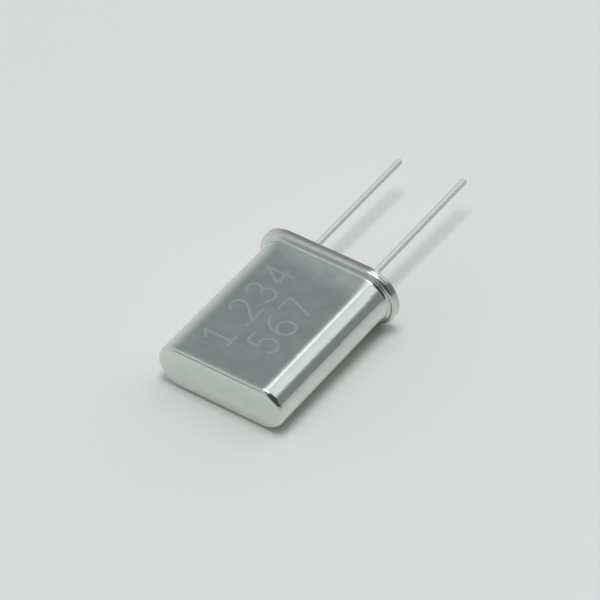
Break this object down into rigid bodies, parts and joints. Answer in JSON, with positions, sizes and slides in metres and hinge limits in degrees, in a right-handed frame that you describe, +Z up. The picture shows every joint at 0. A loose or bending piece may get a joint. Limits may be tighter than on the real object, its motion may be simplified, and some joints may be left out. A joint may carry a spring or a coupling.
{
  "type": "crystal oscillator",
  "caption": "Quartz crystal in a flat, round-ended, flanged metal can with straight wire leads; sets the frequency of a circuit.",
  "frame": {"origin": "on the seating face of the base, halfway between the leads", "axes": "+Y along the leads towards their tips, +Z up through the broad face of the can, +X across the can"},
  "size_m": [0.011, 0.0253, 0.0046],
  "materials": {
    "can_metal": "satin plated",
    "base_metal": "satin plated",
    "seal_glass": "dark sealing glass",
    "lead_metal": "satin tinned",
    "spring_metal": "satin",
    "quartz": "fine lapped",
    "silver_film": "evaporated film",
    "silver_adhesive": "cured, matt"
  },
  "bodies": {
    "root": {"can": "can_metal", "base": "base_metal", "glass_seal_left": "seal_glass", "glass_seal_right": "seal_glass", "lead_left": "lead_metal", "lead_right": "lead_metal", "spring_left": "spring_metal", "spring_right": "spring_metal", "quartz_blank": "quartz", "electrode_front": "silver_film", "electrode_rear": "silver_film", "adhesive_left": "silver_adhesive", "adhesive_right": "silver_adhesive"}
  },
  "joints": []
}
